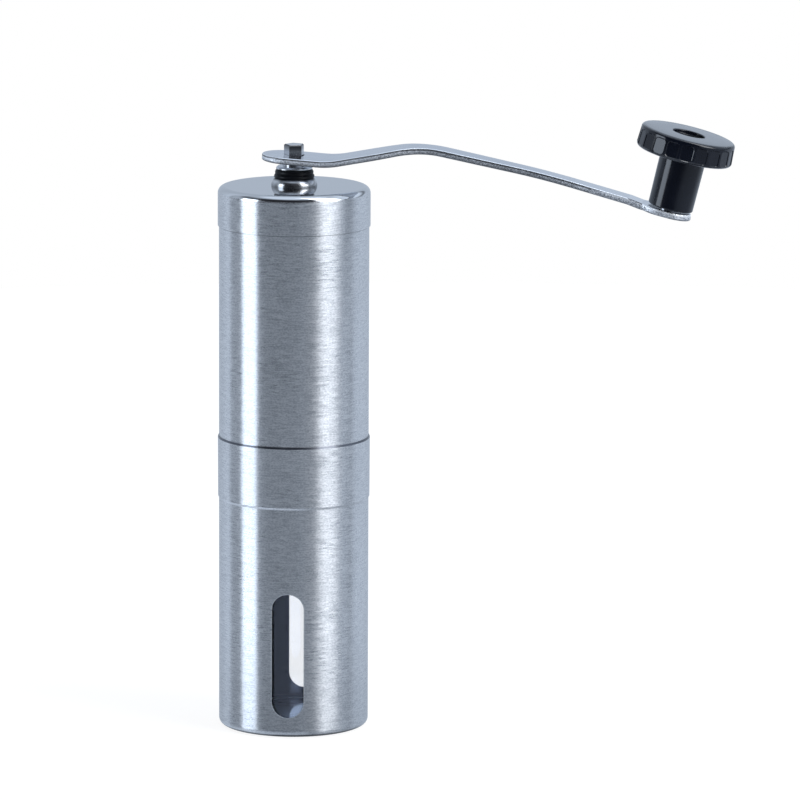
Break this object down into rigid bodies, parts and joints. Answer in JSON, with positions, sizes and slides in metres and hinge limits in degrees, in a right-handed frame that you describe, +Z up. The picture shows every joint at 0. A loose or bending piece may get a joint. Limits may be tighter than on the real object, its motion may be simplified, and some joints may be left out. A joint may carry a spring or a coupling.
{
  "type": "hand crank coffee grinder",
  "caption": "Slim hand crank coffee grinder: brushed steel bean tube in a windowed grounds cup, lift-off lid, bent crank arm with a black spinning knob, and conical ceramic burrs.",
  "frame": {"origin": "middle of the cup's underside, where the grinder stands", "axes": "+Z up the tube's axis, +X along the crank towards the knob, -Y the side the picture was taken from, within ten degrees"},
  "size_m": [0.1656, 0.0488, 0.1987],
  "materials": {
    "brushed_steel": "brushed around the axis",
    "arm_steel": "satin, sheared edges",
    "chrome_trim": "polished",
    "plain_steel": "turned",
    "spring_steel": "drawn",
    "black_rubber": "matt",
    "knob_black": "gloss",
    "holder_black": "moulded",
    "nylon": "moulded",
    "white_ceramic": "unglazed",
    "brass": "turned",
    "clear_plastic": "clear"
  },
  "bodies": {
    "cup": {"cup_shell": "brushed_steel", "cup_liner": "clear_plastic"},
    "barrel": {"upper_tube": "brushed_steel", "burr_holder": "holder_black", "outer_burr": "white_ceramic", "shaft_bush": "nylon"},
    "cap": {"lid": "brushed_steel", "lid_bush": "chrome_trim", "lid_o_ring": "black_rubber"},
    "shaft": {"drive_shaft": "plain_steel", "shaft_circlip": "spring_steel", "thrust_washer": "plain_steel", "spring_washer": "plain_steel", "burr_spring": "spring_steel"},
    "crank": {"crank_arm": "arm_steel", "knob_pin": "plain_steel", "knob_washer": "plain_steel"},
    "grip": {"knob": "knob_black"},
    "burr": {"inner_burr": "white_ceramic", "click_plate": "plain_steel"},
    "adjuster": {"adjust_knob": "holder_black", "adjust_nut": "brass"}
  },
  "joints": [
    {"name": "body_lift", "type": "slide", "parent": "cup", "child": "barrel", "axis": [0, 0, 1], "range_m": [0, 0.075]},
    {"name": "crank_turn", "type": "hinge", "parent": "barrel", "child": "shaft", "pos_m": [0, 0, 0.18], "axis": [0, 0, 1], "continuous": true},
    {"name": "crank_lift", "type": "slide", "parent": "shaft", "child": "crank", "axis": [0, 0, 1], "range_m": [0, 0.06]},
    {"name": "lid_lift", "type": "slide", "parent": "barrel", "child": "cap", "axis": [0, 0, 1], "range_m": [0, 0.03]},
    {"name": "knob_spin", "type": "hinge", "parent": "crank", "child": "grip", "pos_m": [0.12089, 0, 0.17122], "axis": [0.2347, 0, 0.9721], "continuous": true},
    {"name": "burr_gap", "type": "slide", "parent": "shaft", "child": "burr", "axis": [0, 0, 1], "range_m": [-0.001, 0.0012], "deforming": ["burr_spring"]},
    {"name": "grind_adjust", "type": "hinge", "parent": "burr", "child": "adjuster", "pos_m": [0, 0, 0.0712], "axis": [0, 0, 1], "range_deg": [-360, 432]}
  ],
  "couplings": [
    {"joint": "lid_lift", "follows": "crank_lift", "ratio": 0.5},
    {"joint": "burr_gap", "follows": "grind_adjust", "m_per_rad": 0.000159}
  ]
}
